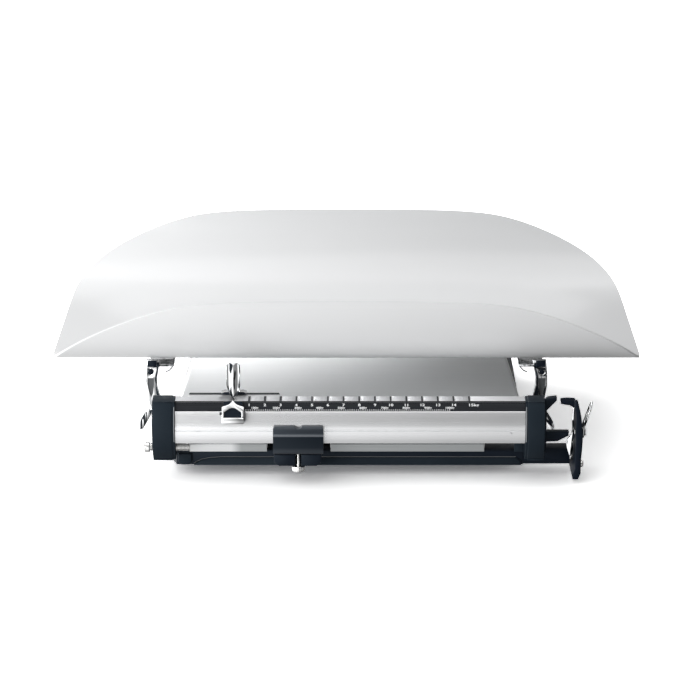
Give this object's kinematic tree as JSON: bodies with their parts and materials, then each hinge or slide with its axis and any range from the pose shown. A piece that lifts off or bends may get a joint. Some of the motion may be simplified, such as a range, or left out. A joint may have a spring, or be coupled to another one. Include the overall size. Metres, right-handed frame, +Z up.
{
  "type": "sliding-weight platform scale",
  "caption": "Mechanical platform scale for small animals: curved white tray on chrome legs over a steel-covered base, with a notched weighing beam, sliding weights and an end indicator.",
  "frame": {"origin": "centre of the footprint of the whole scale, on the surface it stands on", "axes": "+X to the user's right along the tray and beam, +Y away from the user, +Z up"},
  "size_m": [0.5378, 0.34, 0.1585],
  "materials": {
    "tray_enamel": "semi-gloss white enamel",
    "deck_steel": "brushed, grain along the width",
    "beam_aluminium": "satin anodised extrusion",
    "scale_black": "black printed scale",
    "cap_black": "satin charcoal",
    "cast_black": "satin black paint",
    "chrome": "polished",
    "zinc": "bright nickel plating",
    "steel": "plain steel",
    "foot_rubber": "matte"
  },
  "bodies": {
    "base": {"base_frame": "cast_black", "foot_fl": "foot_rubber", "foot_fr": "foot_rubber", "foot_bl": "foot_rubber", "foot_br": "foot_rubber", "deck_cover": "deck_steel", "indicator_bracket": "cast_black", "bracket_screw_a": "zinc", "bracket_screw_b": "zinc", "beam_stand": "steel", "lever_stand_fl": "steel", "lever_stand_fr": "steel", "lever_stand_bl": "steel", "lever_stand_br": "steel"},
    "beam": {"beam_profile": "beam_aluminium", "notch_rail": "beam_aluminium", "scale_strip": "scale_black", "cap_left": "cap_black", "cap_right": "cap_black", "beam_end_plate": "cast_black", "knife_plate": "steel", "fulcrum_knife": "steel", "load_knife": "steel"},
    "zero_screw": {"zero_rod": "zinc", "zero_knob": "zinc"},
    "kilo_poise": {"kilo_bar": "steel", "kilo_saddle": "cap_black", "kilo_handle": "chrome"},
    "gram_poise": {"gram_poise": "chrome"},
    "tare_poise": {"tare_block": "cap_black", "tare_jaw": "cap_black"},
    "tare_screw": {"tare_screw": "zinc"},
    "platform": {"tray": "tray_enamel", "bracket_fl": "chrome", "bracket_fr": "chrome", "bracket_bl": "chrome", "bracket_br": "chrome", "leaf_clip_l": "chrome", "leaf_clip_r": "chrome", "carrier": "steel", "carrier_bearing_fl": "steel", "carrier_bearing_fr": "steel", "carrier_bearing_bl": "steel", "carrier_bearing_br": "steel"},
    "main_lever": {"main_lever": "steel", "main_fulcrum_knife": "steel", "main_load_knife": "steel"},
    "short_lever": {"short_lever": "steel", "short_fulcrum_knife": "steel", "short_load_knife_l": "steel", "short_load_knife_r": "steel"},
    "load_link": {"load_link": "steel"},
    "mid_link": {"mid_link": "steel"},
    "lock_lever": {"lock_shaft": "chrome", "lock_claw": "chrome", "lock_handle": "chrome"}
  },
  "joints": [
    {"name": "beam_tilt", "type": "hinge", "parent": "base", "child": "beam", "pos_m": [-0.03, -0.1316, 0.0425], "axis": [0, 1, 0], "range_deg": [-0.8, 0.8]},
    {"name": "kilo_slide", "type": "slide", "parent": "beam", "child": "kilo_poise", "axis": [1, 0, 0], "range_m": [0, 0.2085]},
    {"name": "gram_slide", "type": "slide", "parent": "beam", "child": "gram_poise", "axis": [1, 0, 0], "range_m": [0, 0.1913]},
    {"name": "tare_slide", "type": "slide", "parent": "beam", "child": "tare_poise", "axis": [1, 0, 0], "range_m": [-0.06, 0.06]},
    {"name": "tare_screw_turn", "type": "hinge", "parent": "tare_poise", "child": "tare_screw", "pos_m": [-0.0424, -0.1634, 0.02], "axis": [0, 0, 1], "range_deg": [-720, 720]},
    {"name": "zero_screw_turn", "type": "hinge", "parent": "beam", "child": "zero_screw", "pos_m": [-0.17, -0.15, 0.0307], "axis": [1, 0, 0], "range_deg": [-1080, 1080]},
    {"name": "lock_turn", "type": "hinge", "parent": "base", "child": "lock_lever", "pos_m": [0.206, -0.15, 0.045], "axis": [1, 0, 0], "range_deg": [-50, 0]},
    {"name": "platform_ride", "type": "slide", "parent": "base", "child": "platform", "axis": [0, 0, 1], "range_m": [-0.00005, 0.00005]},
    {"name": "main_lever_tilt", "type": "hinge", "parent": "base", "child": "main_lever", "pos_m": [0, 0.138, 0.0266], "axis": [1, 0, 0], "range_deg": [-0.13, 0.13]},
    {"name": "short_lever_tilt", "type": "hinge", "parent": "base", "child": "short_lever", "pos_m": [0, -0.106, 0.0229], "axis": [1, 0, 0], "range_deg": [-0.13, 0.13]},
    {"name": "load_link_ride", "type": "slide", "parent": "base", "child": "load_link", "axis": [0, 0, 1], "range_m": [-0.0006, 0.0006]},
    {"name": "mid_link_ride", "type": "slide", "parent": "base", "child": "mid_link", "axis": [0, 0, 1], "range_m": [-0.0003, 0.0003]}
  ],
  "couplings": [
    {"joint": "main_lever_tilt", "follows": "beam_tilt", "ratio": -0.093075},
    {"joint": "short_lever_tilt", "follows": "beam_tilt", "ratio": 0.093075},
    {"joint": "platform_ride", "follows": "beam_tilt", "m_per_rad": 0.0014892},
    {"joint": "load_link_ride", "follows": "beam_tilt", "m_per_rad": 0.025},
    {"joint": "mid_link_ride", "follows": "beam_tilt", "m_per_rad": 0.011355}
  ]
}
